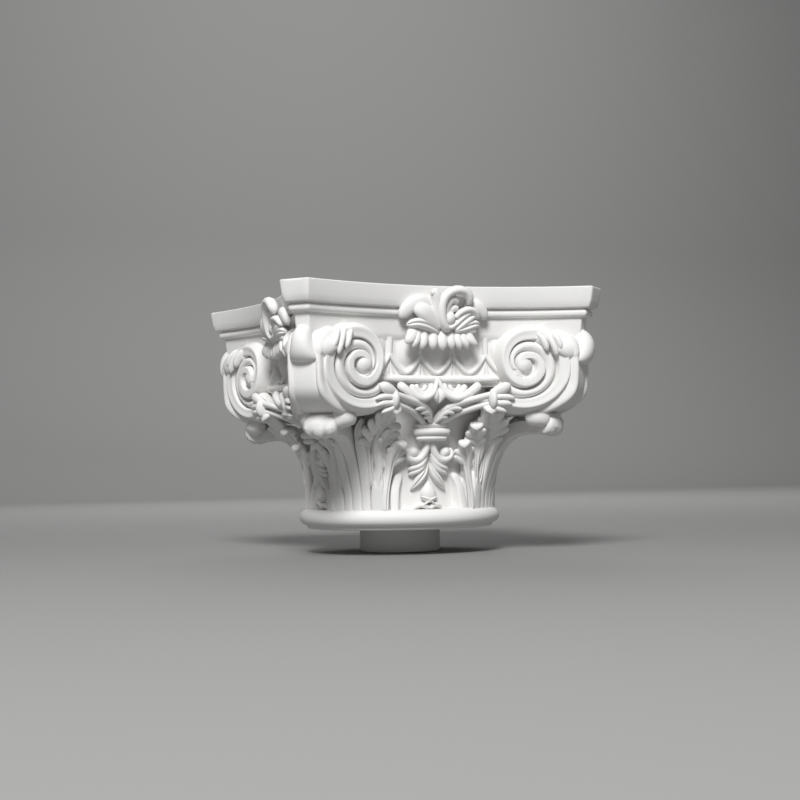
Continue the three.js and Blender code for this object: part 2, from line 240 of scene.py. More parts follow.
def volute_turn(start, end):
    """Part of the spiral: at each angle the section runs in from the rounded outer side over the band, a
    groove and the bead to the next turn inside, and back behind the face. Towards the eye the band turns
    from dished to round and the bead sinks away."""
    degrees = np.linspace(start, end, int((end - start) / TURN_STEP) + 2)
    outer = spiral(SPIRAL_RADII, degrees)[:, None]
    band = outer - spiral(BAND_EDGES, degrees)[:, None]
    next_turn = spiral(SPIRAL_RADII, np.minimum(degrees + 360, SPIRAL_END))
    inside = np.where(degrees < SPIRAL_END - 360, next_turn, CORE_RADIUS)[:, None]
    gap = np.maximum(outer - band - inside, LEAST_GAP)
    inward = np.clip((degrees - ROUNDING_START) / ROUNDING_TURN, 0, 1)[:, None]
    flare, across, past, back, lift = np.array(VOLUTE_SECTION).T
    radius = np.maximum(outer + flare * (1 - inward) - band * across - gap * past, LEAST_RADIUS)
    rounded = np.where((across > ROUNDED_FROM) & (across < ROUNDED_TO), 1.0, lift)
    groove = np.interp(degrees, GROOVE_TURNS, GROOVE_LIFTS)[:, None]
    filled = np.where((past > 0.01) & (past < 1), groove, lift)
    lift = lift + inward * (rounded - lift + filled - lift)
    height = back + (VOLUTE_LIFT + EYE_LIFT * inward) * lift
    angle = np.radians(degrees)[:, None]
    x = EYE_X + radius * np.cos(angle)
    z = EYE_Z + radius * np.sin(angle)
    return shell(np.stack([x, -(face_depth(x, FACE_INSET) + height), z], axis=-1))


def dome(centre, sizes, rings=10, sides=20):
    """An egg-shaped knob: a ball with three half-sizes, swept from pole to pole."""
    pole = np.linspace(POLE_GAP, np.pi - POLE_GAP, rings)[:, None]
    angle = np.linspace(0, 2 * np.pi, sides, endpoint=False)
    across, up = np.sin(pole) * np.cos(angle), np.sin(pole) * np.sin(angle)
    ball = np.stack([across, np.cos(pole) + 0 * angle, up], axis=-1)
    return shell(np.array(centre) * (1, -1, 1) + ball * np.array(sizes))


def smooth(stations, u):
    """A smooth run through stations of any number of values: a cubic between each two, led by the stations
    before and after them, and read at the fractions u of its length in space."""
    p = np.asarray(stations, dtype=float)
    p = np.vstack([2 * p[0] - p[1], p, 2 * p[-1] - p[-2]])
    t = np.linspace(0, len(p) - 3, 20 * len(p))
    i = np.minimum(t.astype(int), len(p) - 4)
    f = (t - i)[:, None]
    a, b, c, d = p[i], p[i + 1], p[i + 2], p[i + 3]
    bend = (2 * a - 5 * b + 4 * c - d) * f ** 2 + (3 * b - a - 3 * c + d) * f ** 3
    run = 0.5 * (2 * b + (c - a) * f + bend)
    length = np.concatenate([[0], np.cumsum(np.linalg.norm(np.diff(run[:, :3], axis=0), axis=1))])
    return np.stack([np.interp(u * length[-1], length, column) for column in run.T], axis=-1)


def corner_strip():
    """The strip over a corner: its section of plain middle and two beads carried down the corner line, each
    point moved out along the line's own normal, and widened towards the foot, where its skirt is shorter."""
    line = smooth([(0.0, *station) for station in CORNER_LINE], np.linspace(0, 1, STRIP_LEVELS))
    along = np.gradient(line, axis=0)
    normal = np.stack([-along[:, 2], along[:, 1]], axis=-1)
    normal /= np.linalg.norm(normal, axis=1)[:, None]
    across, lift = STRIP_SECTION.T
    skirt = np.minimum(lift / line[:, 3:] ** SKIRT_POWER, SKIRT_LIFT)
    lift = np.where(lift < SKIRT_LIFT, skirt, lift)
    rho = line[:, 1, None] + normal[:, :1] * lift
    z = line[:, 2, None] + normal[:, 1:] * lift
    return shell(np.stack([across * line[:, 3:], -rho, z], axis=-1))


def rounded_end(past):
    """What is left of the full size at a share of the way through a rounded end: a quarter of an ellipse,
    held just short of a point."""
    return np.sqrt(np.clip(1 - np.clip(past, 0, 1) ** 2, BLUNT_END, 1))


def limb(stations, outward, section, loops=14, root=0.0, tip=0.25, sideways=None):
    """A tapering limb: a section carried along a smooth line through stations of (across, depth, height, half
    width, thickness). Its back faces outward, or away from the axis if that is None, unless sideways says
    which way its right edge lies. Its ends are rounded off over the given fractions of its length."""
    even = np.linspace(0, 1, loops)
    u = EVEN_SHARE * even + (1 - EVEN_SHARE) * (0.5 - 0.5 * np.cos(np.pi * even))
    run = smooth(stations, u)
    line = run[:, :3] * (1, -1, 1)
    along = np.gradient(line, axis=0)
    along /= np.linalg.norm(along, axis=1)[:, None]
    if outward is None:
        outward = line * (1, 1, 0)
    leading = np.broadcast_to(outward if sideways is None else sideways, line.shape)
    leading = leading - (leading * along).sum(axis=1)[:, None] * along
    leading /= np.linalg.norm(leading, axis=1)[:, None]
    side, back = np.cross(along, leading), leading
    if sideways is not None:
        side, back = leading, np.cross(leading, along)
    ends = np.ones(loops)
    if tip > 0:
        ends = ends * rounded_end((u - 1 + tip) / tip)
    if root > 0:
        ends = ends * rounded_end((root - u) / root)
    across = (run[:, 3] * ends)[:, None] * section[:, 0]
    lift = (run[:, 4] * ends)[:, None] * section[:, 1]
    return shell(line[:, None] + across[..., None] * side[:, None] + lift[..., None] * back[:, None])


for start, end in zip(TURN_ENDS[:-1], TURN_ENDS[1:]):
    quarter_shells += pair(volute_turn(start, min(end + TURN_LAP, SPIRAL_END)))
eye_depth = face_depth(EYE_X, FACE_INSET) + VOLUTE_LIFT - EYE_SINK
quarter_shells += pair(dome((EYE_X - EYE_SHIFT, eye_depth, EYE_Z), EYE_SIZES))
quarter_shells.append(turned(corner_strip(), CORNER))
quarter_shells.append(turned(limb(CORNER_BLOCK, DOWN, ROUND, loops=10, tip=0.1), CORNER))

# The leaf caps: over each corner a drooping leaf of the casting hangs under the abacus, a full middle lobe
# with a fold on either side. Two broad drapes of it fall over the outside of each volute, and three slender
# fingers lie over the volute's top.
FLAT_ROUND = np.array([
    (1, -0.6), (1.0, 0), (0.95, 0.36), (0.82, 0.64), (0.6, 0.85), (0.32, 0.97), (0, 1.0), (-0.32, 0.97),
    (-0.6, 0.85), (-0.82, 0.64), (-0.95, 0.36), (-1.0, 0), (-1, -0.6)])
CAP_LOBE = [
    (0, 226, 262, 8, 8), (0, 239, 257, 9.5, 10), (0, 245.5, 250.5, 11, 11.5), (0, 247.3, 243, 12.5, 11.5),
    (0, 246, 235, 15, 11), (0, 243.5, 229.5, 17, 9), (0, 240, 227, 17.5, 6)]
LOBE_FACING = np.array([0, -1.0, 0.35])
CAP_FOLD = [
    (20, 218, 259, 7, 5), (18.5, 229, 253.5, 7.5, 6), (17, 236.5, 247, 7, 6.5), (16.8, 239.5, 240, 6.6, 6.5),
    (17.8, 240, 233, 5, 6), (18.6, 239, 228.5, 3, 4.5)]
FOLD_FACING = np.array([0.35, -1.0, 0.25])
DRAPES = [
    [(146, -11, 262, 14, 8), (147.5, -6, 254, 16, 8), (149, 1, 247, 16.8, 8.5), (150, 5, 240, 15.5, 8.5),
     (150.5, 6, 233, 12.5, 7.5), (150.5, 5.5, 228, 7.5, 6)],
    [(120, -10, 268, 11, 7), (123, -3, 260, 12.5, 7.5), (126, 3, 252.5, 12, 8), (128.5, 6, 244, 9, 6.5)]]
FINGERS = [
    [(132, 5, 261, 2.6, 4), (135.5, 11, 253.5, 3.6, 5), (138.2, 13, 246, 3.6, 5), (139.5, 13.5, 239, 2.8, 4)],
    [(124, 5, 262, 2.6, 4), (128.6, 12, 251, 3.6, 5), (132.4, 14, 240, 3.6, 5), (134.6, 14, 231, 2.8, 4)],
    [(115, 6, 261, 2.6, 4), (119.3, 11.5, 253, 3.6, 5), (122.3, 13.5, 245, 3.6, 5),
     (124.4, 13.5, 237.5, 2.8, 4)]]
OUT = np.array([0.0, -1.0, 0.0])


def on_face(stations, inset=FACE_INSET):
    """Stations given as (across, relief, height, half width, thickness) over the abacus's hollow face."""
    return [(x, face_depth(x, inset) + relief, z, half, thick) for x, relief, z, half, thick in stations]


cap = [limb(CAP_LOBE, LOBE_FACING, FLAT_ROUND, loops=20, tip=0.06)]
cap += pair(limb(CAP_FOLD, FOLD_FACING, ROUND, loops=16, tip=0.12))
quarter_shells += [turned(part, CORNER) for part in cap]
for stations in DRAPES:
    quarter_shells += pair(limb(on_face(stations), OUT, FLAT_ROUND, loops=16, root=0.05, tip=0.3))
for stations in FINGERS:
    quarter_shells += pair(limb(on_face(stations), OUT, ROUND, loops=12, root=0.2, tip=0.22))

# The egg band: under the frieze a row of smooth eggs of the casting stands in bowed rims, which meet and
# run up together as a flat stalk, with darts between their feet, all on a straight bar. It is carved on
# every face between the volutes.
VEINED = np.array([
    (1, -0.35), (0.97, 0.2), (0.84, 0.62), (0.62, 0.9), (0.4, 1.0), (0.22, 0.94), (0.1, 0.72), (0, 0.56),
    (-0.1, 0.72), (-0.22, 0.94), (-0.4, 1.0), (-0.62, 0.9), (-0.84, 0.62), (-0.97, 0.2), (-1, -0.35),
    (-0.86, -0.78), (-0.45, -1.0), (0.45, -1.0), (0.86, -0.78)])
BAND_INSET = 23.0
EGG_PITCH = 40.0
EGG_PLACES = (-2, -1, 0, 1, 2)
DART_PLACES = (0.5, 1.5)
RIM_FOOT = 213.5
RIM_MEETING = 235.0
RIM_TOP = 258.0
RIM_BOW = 1.6
RIM_POINTS = 13
RIM_RELIEF = 0.4
RIM_HALF = 2.9
RIM_THICK = 4.6
# The rows of an upright member are its relief, height, half width and thickness.
EGG = [(-3, 257, 13, 5), (-2.5, 243, 15, 7), (-2.2, 231, 12.5, 6.5), (-2.5, 219, 5, 4)]
DART = [(-1, 209, 9, 3.8), (-1, 215, 5.5, 3.8), (-1, 221, 3, 3.6), (-1, 230, 1.2, 2.8)]
RIM_STALK = [(0.2, RIM_MEETING - 5, 2.6, 4.2), (0.2, RIM_MEETING + 7, 3.4, 4.2), (0.2, RIM_TOP, 4.8, 4.2)]
BAR = [(-78.0, 0.5, 206.5, 4.6, 5.5), (0.0, 0.5, 206.5, 4.6, 5.5), (78.0, 0.5, 206.5, 4.6, 5.5)]


def upright(x, rows):
    """The stations of an upright member of the band at one place across the face."""
    return on_face([(x, *row) for row in rows], BAND_INSET)


def egg_rim(x):
    """The rim under an egg: a flat band from where it meets the next rim down to the egg's tip and up again,
    its line a power curve of the distance from the middle."""
    s = np.linspace(-1, 1, RIM_POINTS)
    z = RIM_FOOT + (RIM_MEETING - RIM_FOOT) * np.abs(s) ** RIM_BOW
    stations = [(x + 0.5 * EGG_PITCH * a, RIM_RELIEF, b, RIM_HALF, RIM_THICK) for a, b in zip(s, z)]
    return limb(on_face(stations, BAND_INSET), OUT, FLAT_ROUND, loops=30, tip=0.02)


for place in EGG_PLACES:
    quarter_shells.append(limb(upright(place * EGG_PITCH, EGG), OUT, ROUND, loops=12, tip=0.3))
    quarter_shells.append(egg_rim(place * EGG_PITCH))
for place in DART_PLACES:
    x = place * EGG_PITCH
    quarter_shells += pair(limb(upright(x, DART), OUT, VEINED, loops=8, tip=0.1))
    quarter_shells += pair(limb(upright(x, RIM_STALK), OUT, FLAT_ROUND, loops=8, root=0.1, tip=0.02))
quarter_shells.append(limb(on_face(BAR, BAND_INSET), OUT, ROUND, loops=16, tip=0.02))

# The stems: under the bar hang two cupped husks and a small diamond leaf. From the tie two arms on each side
# rise outwards, a round rod and a leafy arm over it, are caught by a knot and end in four petals. They stand
# clear of the bell, as one with the casting at both ends.
HUSK_LEAF = [
    (0.6, -4, 208, 2.2, 4.0), (3, -3, 199, 2.8, 5.0), (8.5, -1, 189, 3.8, 6.0), (20, 0, 183.6, 4.6, 6.0),
    (32, 0, 187, 4.8, 6.0), (43, 0, 194, 5.4, 5.5), (52, -2, 201, 6.0, 4.0)]
HUSK_RING = [
    (8, -5, 202, 2.8, 4.5), (10, -4, 194, 3.2, 5.0), (18, -3, 188.8, 3.6, 5.0), (28, -3, 191.5, 3.8, 5.0),
    (35, -4, 200, 4.2, 5.0)]
HUSK_CUP = [
    (15, -6, 200, 2.8, 4.0), (16.5, -5, 195.5, 2.8, 4.0), (21, -5, 193, 2.8, 4.0), (26, -5, 196, 2.8, 4.0),
    (27, -6, 201, 2.8, 4.0)]
DIAMOND = [(0, 136, 197, 1.2, 3), (0, 141, 190, 9.0, 5), (0, 141, 186.5, 10.5, 5.5), (0, 138, 178, 1.0, 3)]
ROD = [
    (5, 110, 149, 3.6, 4.4), (12, 119, 157, 3.6, 4.4), (22, 129, 163.5, 3.6, 4.4), (32, 138, 168.5, 3.6, 4.4),
    (43, 145, 172.5, 3.6, 4.4), (54, 151, 175.5, 3.6, 4.4), (64, 157, 177.5, 3.6, 4.4)]
ARM = [
    (2.5, 113, 153, 3.4, 4.8), (4.5, 121, 162, 3.8, 5.0), (9, 129, 169.5, 4.0, 5.0),
    (18.5, 138, 175.5, 4.0, 5.0), (28, 143, 179, 4.0, 5.0), (39, 148, 182, 4.0, 5.0),
    (50, 153, 185, 4.0, 5.0), (62, 159, 188, 4.0, 4.6)]
ARM_FACING = np.array([0, -1.0, 0.3])
ARM_LEAVES = [
    [(4, 122, 158), (9, 129, 163), (16, 131, 161.5)], [(7, 128, 164), (14, 135, 168.5), (22, 137, 166.5)],
    [(12, 133, 170), (21, 140, 173), (30, 141.5, 170.5)]]
ARM_LEAF_SIZES = [(2.6, 3.4), (3.4, 3.8), (2.4, 3.0)]
KNOT_CENTRE = (61.0, 160.0, 182.5)
KNOT_SIZES = (5.2, 8.0, 11.5)
PETALS = [
    [(60, 158, 190, 3.4, 4.5), (68, 163, 193, 6.2, 5), (76, 165, 196.5, 6, 5), (82, 164, 199, 3.6, 3.5)],
    [(60, 159, 184, 3, 4), (70, 163, 185, 3.6, 4), (80, 165.5, 184, 3.4, 4), (87, 165, 181.5, 2.2, 3)],
    [(60, 158, 179, 3, 4), (69, 162, 177.5, 3.6, 4), (78, 164, 177, 3.6, 4), (84, 163, 174, 2.2, 3)],
    [(60, 156, 175, 2.6, 3.5), (66, 160, 171, 3.2, 4), (73, 161.5, 168.5, 2.8, 3.5),
     (78, 160, 166, 1.8, 2.5)]]


def sized(places, sizes):
    """Stations from places along a leaf, with the half width and thickness that such leaves have there."""
    return [(*place, *size) for place, size in zip(places, sizes)]


quarter_shells += pair(limb(on_face(HUSK_LEAF), OUT, ROUND, loops=26, tip=0.1))
quarter_shells += pair(limb(on_face(HUSK_RING), OUT, ROUND, loops=18, root=0.1, tip=0.12))
quarter_shells += pair(limb(on_face(HUSK_CUP), OUT, ROUND, loops=14, root=0.15, tip=0.15))
quarter_shells.append(limb(DIAMOND, OUT, VEINED, loops=10, tip=0.1))
quarter_shells += pair(limb(ROD, ARM_FACING, ROUND, loops=16, tip=0.05))
quarter_shells += pair(limb(ARM, ARM_FACING, ROUND, loops=18, tip=0.05))
for places in ARM_LEAVES:
    quarter_shells += pair(limb(sized(places, ARM_LEAF_SIZES), OUT, ROUND, loops=9))
quarter_shells += pair(dome(KNOT_CENTRE, KNOT_SIZES))
for stations in PETALS:
    quarter_shells += pair(limb(stations, OUT, ROUND, loops=10))

# The pendant: a tie of three rounded bands gathers the stems in the middle of each face. Under it hang two
# ball-ended scrolls, three pairs of feathered leaves and a pair of pointed ones, and on the ring sits a bud
# wrapped in crossed bands between two low leaves, all carved on the bell.
# Each band of the tie has its height, half length, half thickness and reach.
TIE_BANDS = [(138.0, 18.5, 3.6, 15.0), (145.5, 22.5, 5.0, 18.0), (153.3, 20.0, 3.7, 16.0)]
TIE_DEPTH = 104.0
TIE_POINTS = 15
TIE_BOW = 0.55
TIE_SINK = 0.15
TIE_THICK = 6.0
SCROLL_STEM = [
    (2.5, 1, 138, 4.0, 5.0), (4, 3, 127, 4.4, 6.0), (9, 4, 116.5, 4.6, 6.5), (17, 5, 112, 4.8, 6.5),
    (25.5, 5, 115, 4.4, 6.5), (28.5, 5, 121.5, 3.6, 6.0), (26, 5, 127, 2.6, 5.0)]
BALL = (20.5, 106.0, 121.5)
BALL_SIZES = (6.8, 6.8, 6.8)
FEATHERS = [
    [(2.5, 1, 124), (10, 4, 112), (24, 3, 107.5)], [(2.5, 1, 120), (10, 5, 107), (26, 4, 101)],
    [(2.5, 0, 116), (10, 4, 102), (25, 3, 95)]]
FEATHER_SIZES = [(2.4, 4.5), (3.6, 5.5), (3.0, 4.5)]
POINTED = [(2, 0, 108, 2.6, 4.0), (6, 2.5, 97, 4.6, 5.5), (13, 3, 88, 5.0, 5.5), (22, 1.5, 77, 0.8, 2.5)]
BUD = [(0, 0, 87, 1.4, 3), (0, 1.5, 80, 7, 6), (0, 2.5, 73, 10.4, 8), (0, 2, 67, 9, 7.5), (0, 0, 61, 5, 6)]
BUD_CROSS = [(-10, 4, 69, 1.2, 2.6), (-3, 8.6, 66.5, 1.3, 2.6), (4, 7.6, 62, 1.3, 2.6), (10, 3, 56, 1.2, 2.6)]
BUD_BASE = [(17, -2, 55, 2.6, 4), (11, 2, 59, 3.4, 5), (5, 3, 58, 3.4, 5), (0, 2, 55, 3, 5)]


def tie_band(z, half, tall, reach):
    """One band of the tie: a round bar that bows out from the bell as the flat part of an ellipse."""
    x = np.linspace(-1, 1, TIE_POINTS)
    bow = np.sqrt(1 - TIE_BOW * x ** 2)
    stations = [(half * a, TIE_DEPTH + reach * (b - TIE_SINK), z, tall, TIE_THICK) for a, b in zip(x, bow)]
    return limb(stations, OUT, ROUND, loops=20, root=0.08, tip=0.08)


def on_bell(stations):
    """Stations given as (across, relief, height, half width, thickness) over the bell."""
    return [(x, np.sqrt((bell_radius(z) + relief) ** 2 - x * x), z, half, thick)
            for x, relief, z, half, thick in stations]


quarter_shells += [tie_band(*band) for band in TIE_BANDS]
quarter_shells += pair(limb(on_bell(SCROLL_STEM), None, ROUND, loops=18))
quarter_shells += pair(dome(BALL, BALL_SIZES))
for places in FEATHERS:
    quarter_shells += pair(limb(on_bell(sized(places, FEATHER_SIZES)), None, ROUND, loops=10))
quarter_shells += pair(limb(on_bell(POINTED), None, VEINED, loops=12, tip=0.05))
quarter_shells.append(limb(on_bell(BUD), None, ROUND, loops=12))
quarter_shells += pair(limb(on_bell(BUD_CROSS), None, ROUND, loops=10, root=0.1, tip=0.1))
quarter_shells += pair(limb(on_bell(BUD_BASE), None, ROUND, loops=10, root=0.2, tip=0.1))

# The acanthus leaves: at each corner a leaf grows from the ring as a bundle of flutes. Its middle flute
# widens, bends out and curls over in a roll under the volute, and the side flutes open into fingered lobes.
# All of it is one with the casting.
FLUTE = np.array([
    (1, -1), (1, 0.66), (0.95, 0.84), (0.86, 0.94), (0.5, 1.0), (0, 1.02), (-0.5, 1.0), (-0.86, 0.94),
    (-0.95, 0.84), (-1, 0.66), (-1, -1)])
LEAF_CORE = [(0, 90, 50, 36, 12), (0, 91, 80, 36, 12), (0, 93, 100, 30, 10), (0, 96, 116, 22, 8)]
TONGUE = [
    (0, 108, 50, 6.2, 10), (0, 109.5, 72, 6.2, 10), (0, 114, 90, 6.4, 10), (0, 121, 109, 6.8, 10),
    (0, 128, 122, 7.2, 10), (0, 137, 133, 8, 10), (0, 149, 143, 9, 9), (0, 167, 149, 10.5, 8),
    (0, 196, 149, 13, 8)]
TONGUE_FACING = np.array([0, -1.0, -0.9])
ROLL_MIDDLE = [
    (-18, 199, 154, 9.5, 9.5), (-14.5, 200.5, 153.5, 13, 13), (-8, 201.5, 153, 14.4, 14.4),
    (0, 202, 153, 14.8, 14.8), (8, 201.5, 153, 14.4, 14.4), (14.5, 200.5, 153.5, 13, 13),
    (18, 199, 154, 9.5, 9.5)]
ROLL_SIDE = [
    (12, 201, 159, 8, 8), (16, 199.5, 160, 11.5, 11.5), (21, 195.5, 161, 11.6, 11.6),
    (25, 189.5, 161, 10.6, 10.6), (27, 180, 161, 8, 8)]
ROLL_FLAPS = [
    [(0, 213, 158, 8, 2.4), (0, 213.4, 148, 8.4, 3), (0, 208, 138.6, 5.5, 3)],
    [(-12, 210.5, 158, 5.5, 2.4), (-12.4, 211, 149, 5.8, 3), (-12, 206.5, 141, 3.6, 3)],
    [(12, 210.5, 158, 5.5, 2.4), (12.4, 211, 149, 5.8, 3), (12, 206.5, 141, 3.6, 3)]]
FLAP_FACING = np.array([0, -1.0, -0.3])
SIDE_FLUTES = [
    [(11.8, 117.5, 50, 5.5, 9), (12, 119, 72, 5.5, 9), (12.8, 123.5, 90, 5.8, 9), (14, 130, 110, 6.2, 9),
     (14.6, 136, 124, 6.2, 8), (15.5, 143, 137, 5.4, 7), (18, 148, 147, 4, 5)],
    [(25.4, 115.5, 50, 7.7, 9), (26, 117.5, 70, 7.7, 9), (27.3, 118.6, 83, 7.0, 9), (28, 116.5, 93, 5.6, 8),
     (28, 112, 101, 3.6, 6)],
    [(43.6, 107.5, 50, 4.9, 8), (42.4, 102.5, 76, 5.2, 8), (43.6, 97.5, 90, 5, 7), (47.5, 94.5, 97, 4.4, 6)]]
LEAF_SHEET = [
    (30, 104, 84, 8, 6), (33, 110, 104, 11, 6), (36, 116, 122, 13, 6), (41, 123, 138, 13, 5.5),
    (46, 130, 152, 10, 5), (49, 134, 160, 6, 4)]
SHEET_FACING = (0.87, 0.49)
INNER_LOBE = [
    (13.5, 121, 92, 3, 6), (14, 127.5, 109, 3.8, 6), (14.5, 134, 122, 4.6, 6), (14.5, 141.5, 134.5, 5.4, 6),
    (16.5, 148, 146, 5.6, 6), (21.5, 152.5, 155, 5, 6), (26, 155.5, 161.5, 4, 5)]
# A lobe has the way it faces, the stations of its blade, and the root, tip and half width of its fingers.
TOP_LOBE = (
    (0.8, 0.6),
    [(24.6, 118, 80, 4, 8), (23.6, 120.5, 92, 3.6, 8), (22.8, 122.5, 104, 3.4, 7), (24.5, 126, 128, 6, 6),
     (33, 133, 142, 11, 5.5), (45, 142, 152.5, 13.5, 5.5), (55, 147, 161, 12, 5), (61, 149.5, 168.5, 10, 4.5),
     (66, 152, 172.5, 9.5, 4.2), (71, 155, 171, 9, 4), (74, 157, 165, 7.5, 3.4)],
    [((46, 143, 150), (52, 160, 165), 6.0), ((38, 137, 144), (42.4, 162, 156.3), 6.2),
     ((30, 131, 137), (31.9, 157.8, 148), 6.0), ((25, 126.5, 129), (21.1, 145.8, 136.8), 5.4),
     ((44, 142, 149), (58.8, 136.2, 160), 5.6), ((36, 134.5, 141), (55, 132, 152), 5.4)])
MIDDLE_LOBE = (
    (0.92, 0.39),
    [(30.6, 116.5, 80, 4, 8), (32.4, 118, 92, 3.4, 8), (34, 119.5, 106, 3.2, 7), (34.5, 121.5, 126, 5.4, 5.5),
     (39, 123.5, 135, 8.5, 5.5), (45, 125, 142.5, 10, 5), (51, 127.5, 149, 9.5, 4.5),
     (56, 129.5, 153, 8.8, 4.2), (61, 131.5, 152, 8.2, 4), (63.5, 132.5, 146.5, 6.8, 3.4)],
    [((40, 123.5, 136), (53.2, 137.4, 146), 5.0), ((35.5, 122, 127), (42, 133, 137), 4.6),
     ((41, 123.5, 137), (56, 118, 143), 4.8), ((36, 122, 128), (52, 114.5, 136), 4.6)])
LOW_LOBE = (
    (0.95, 0.31),
    [(36.6, 112.5, 50, 4.8, 8), (37.6, 112, 72, 4.8, 8), (40, 110.5, 90, 4.4, 7), (43, 110, 104, 5, 6),
     (47, 111, 115, 7.5, 5.5), (51.5, 112, 123.5, 8.5, 5), (55, 113, 129, 8.2, 4.5),
     (58.5, 114, 132, 7.8, 4.2), (62.5, 115.5, 131, 7.2, 4), (64.5, 116.5, 126, 5.8, 3.4)],
    [((46, 111, 113), (46.4, 118.2, 125), 4.4), ((38, 112, 101), (32.5, 115, 118.3), 4.2),
     ((47, 110.5, 114), (55.5, 102, 121.5), 4.4), ((43, 109.5, 105), (54.5, 101, 114.5), 4.2)])
# A finger's sizes at its root, middle, tip and end are a share of its half width, and a thickness.
FINGER_SIZES = [(0.5, 4.4), (1.0, 4.0), (0.86, 3.2), (0.6, 2.4)]
FINGER_RISE = 1.5
FINGER_LEAN = 2.5
FINGER_OVERRUN = 0.1


def sunk(stations, facing=None):
    """Stations measured on the leaf's face, drawn in by their own thickness against the way it faces, which
    is straight out from the axis if it isn't given."""
    p = np.array(stations, dtype=float)
    if facing is None:
        facing = p[:, :2] / np.hypot(p[:, :1], p[:, 1:2])
    p[:, :2] -= p[:, 4:] * facing
    return p


def blade(stations, facing, section, ends):
    """A broad leaf blade whose face looks towards the facing direction all along its line, also where its
    end rolls over."""
    right = np.array([facing[1], facing[0], 0.0])
    return limb(sunk(stations, facing), None, section, loops=24, root=ends, tip=ends, sideways=right)


def finger(root, tip, half, facing):
    """A leaf finger from its root on the vein to its tip: it rises a little before it spreads, swells to a
    blunt end and leans out there to the side that the lobe faces."""
    root, tip, out = np.array(root), np.array(tip), np.array([*facing, 0.0])
    middle = 0.5 * (root + tip) + (0, 0, FINGER_RISE)
    end = tip + FINGER_LEAN * out + FINGER_OVERRUN * (tip - root)
    stations = sized([root, middle, tip, end], [(share * half, thick) for share, thick in FINGER_SIZES])
    return limb(sunk(stations, facing), out * (1, -1, 1), ROUND, loops=12, root=0.2, tip=0.2)


leaf = [limb(LEAF_CORE, OUT, FLUTE, loops=10, tip=0)]
leaf.append(limb(TONGUE, TONGUE_FACING, FLUTE, loops=26, tip=0.02))
leaf.append(limb(ROLL_MIDDLE, OUT, ROUND, loops=22, root=0.06, tip=0.06))
leaf += pair(limb(ROLL_SIDE, OUT, ROUND, loops=16, root=0.2, tip=0.12))
leaf += [limb(stations, FLAP_FACING, ROUND, loops=10, tip=0.3) for stations in ROLL_FLAPS]
for stations in SIDE_FLUTES:
    leaf += pair(limb(sunk(stations), None, FLUTE, loops=18, tip=0.15))
leaf += pair(limb(sunk(INNER_LOBE), None, VEINED, loops=21, root=0.2, tip=0.16))
leaf += pair(blade(LEAF_SHEET, SHEET_FACING, FLUTE, ends=0.2))
for facing, stations, fingers in (TOP_LOBE, MIDDLE_LOBE, LOW_LOBE):
    leaf += pair(blade(stations, facing, VEINED, ends=0.06))
    for root, tip, half in fingers:
        leaf += pair(finger(root, tip, half, facing))
quarter_shells += [turned(part, CORNER) for part in leaf]

# The fleuron: in the middle of each face a flower breaks through the frieze, carved in the same casting: an
# open skirt of petals below, and leaves above it that turn to one side round a bead, under a tall curl that
# laps over the abacus.
# A petal of the skirt has its root's place across and height, its tip's, and its half width.
SKIRT = [
    (-34, 260, -47, 247, 7.0), (-29, 259, -38, 242, 5.0), (-22, 259, -26.5, 240, 5.6),
    (-11, 259, -12.5, 239.5, 6.2), (0, 259, 0, 238.5, 6.6), (10, 259, 12, 240, 5.8),
    (18, 259, 22, 240, 5.0), (24, 259, 32, 241, 4.8), (30, 260, 43, 243.5, 5.0)]
PETAL_TUCK = 5.0
ROOT_RELIEF = 8.0
PETAL_RELIEF = 13.0
PETAL_SIZES = [(0.95, 6.0), (1.0, 6.0), (0.6, 4.5)]
FLEURON_HEART = (0.0, 143.0, 274.0)
FLEURON_SPREAD = (40.0, 15.0, 24.0)
FLEURON_LEAVES = [
    [(-4, 11, 261, 4.4, 6), (-20, 16, 267.5, 6, 6), (-33, 16, 270, 6, 6), (-45, 11, 268, 4, 5)],
    [(14, 12, 262, 4.4, 6), (28, 15, 266, 5.8, 6), (39, 14, 269.5, 5.6, 6), (47, 10, 268.5, 4, 4)],
    [(14, 12, 263, 5, 7), (23, 16, 272, 7.8, 7), (33, 16, 279, 7.4, 7), (41, 13, 280, 4.4, 5)]]
FLEURON_WINGS = [
    [(-4, 12, 265, 6.4, 6), (-16, 18, 275.5, 9.4, 6), (-27, 20, 284.5, 9.4, 6), (-38, 15, 287, 6, 5)],
    [(-10, 10, 291, 7, 6), (-25, 15, 296, 8, 6), (-40, 14, 290, 8.4, 6), (-52, 9, 276, 6, 5)],
    [(28, 10, 291, 6, 5), (40, 14, 292, 7, 5.5), (49, 12, 286, 7, 5.5), (55, 8, 276, 5, 5)]]
